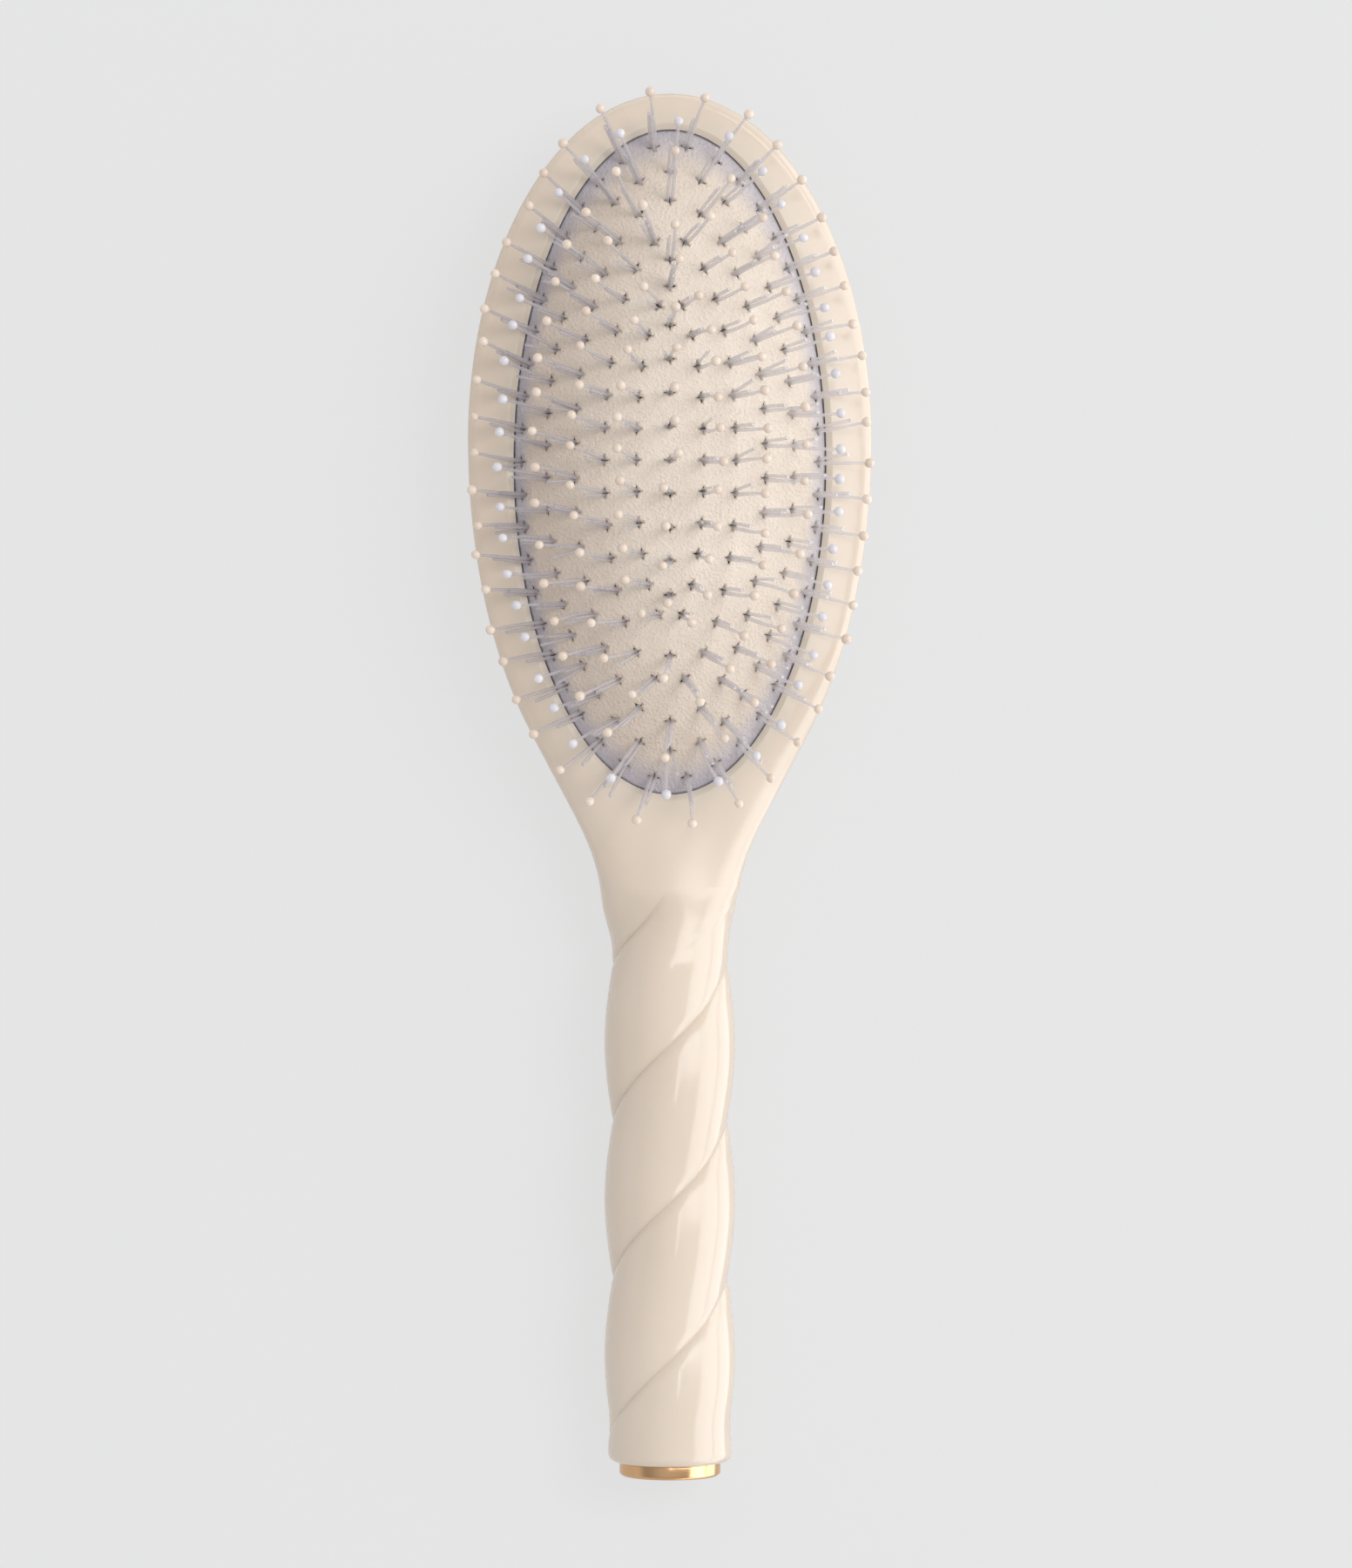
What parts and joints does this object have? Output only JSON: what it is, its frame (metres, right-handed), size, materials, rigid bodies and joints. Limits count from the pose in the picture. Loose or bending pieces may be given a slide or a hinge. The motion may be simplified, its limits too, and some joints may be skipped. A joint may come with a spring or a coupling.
{
  "type": "detangling brush",
  "caption": "Oval cushion hairbrush for detangling: ball-tipped pins and short filaments in a rubber cushion, twisted handle with a brass end cap.",
  "frame": {"origin": "middle of the box that holds the brush, at the height of the surface that it lies on", "axes": "+Y along the brush from the end cap to the tip of the head, +Z out of the cushion along the bristles, +X to the right with the head up"},
  "size_m": [0.07, 0.24, 0.0416],
  "materials": {
    "body_resin": "polished cream resin, cast and turned in one piece with the twisted handle",
    "cushion_rubber": "matte natural rubber with a fine wrinkled grain",
    "cap_brass": "satin brass with turning marks",
    "pin_nylon": "translucent grey nylon",
    "tip_beige": "smooth beige ball",
    "tip_lilac": "smooth pale lilac ball"
  },
  "bodies": {
    "root": {"brush_body": "body_resin", "rubber_cushion": "cushion_rubber", "end_cap": "cap_brass"},
    "row": {"bristle_ring_0": "pin_nylon", "ball_tips_0": "tip_beige"},
    "ring_1": {"bristle_ring_1": "pin_nylon", "ball_tips_1": "tip_beige"},
    "ring_2": {"bristle_ring_2": "pin_nylon", "ball_tips_2": "tip_beige"},
    "ring_3": {"bristle_ring_3": "pin_nylon", "ball_tips_3": "tip_beige"},
    "ring_4": {"bristle_ring_4": "pin_nylon", "ball_tips_4": "tip_lilac"},
    "ring_5": {"bristle_ring_5": "pin_nylon", "ball_tips_5": "tip_beige"}
  },
  "joints": [
    {"name": "press", "type": "slide", "parent": "root", "child": "row", "axis": [0, 0, -1], "range_m": [0, 0.003], "stiffness_N_per_m": 300, "deforming": ["rubber_cushion"]},
    {"name": "press_1", "type": "slide", "parent": "root", "child": "ring_1", "axis": [0, 0, -1], "range_m": [0, 0.00286], "stiffness_N_per_m": 300},
    {"name": "press_2", "type": "slide", "parent": "root", "child": "ring_2", "axis": [0, 0, -1], "range_m": [0, 0.00247], "stiffness_N_per_m": 300},
    {"name": "press_3", "type": "slide", "parent": "root", "child": "ring_3", "axis": [0, 0, -1], "range_m": [0, 0.00188], "stiffness_N_per_m": 300},
    {"name": "press_4", "type": "slide", "parent": "root", "child": "ring_4", "axis": [0, 0, -1], "range_m": [0, 0.00113], "stiffness_N_per_m": 300},
    {"name": "press_5", "type": "slide", "parent": "root", "child": "ring_5", "axis": [0, 0, -1], "range_m": [0, 0.000293], "stiffness_N_per_m": 300}
  ],
  "couplings": [
    {"joint": "press_1", "follows": "press", "ratio": 0.9533},
    {"joint": "press_2", "follows": "press", "ratio": 0.8236},
    {"joint": "press_3", "follows": "press", "ratio": 0.6279},
    {"joint": "press_4", "follows": "press", "ratio": 0.3759},
    {"joint": "press_5", "follows": "press", "ratio": 0.0975}
  ]
}
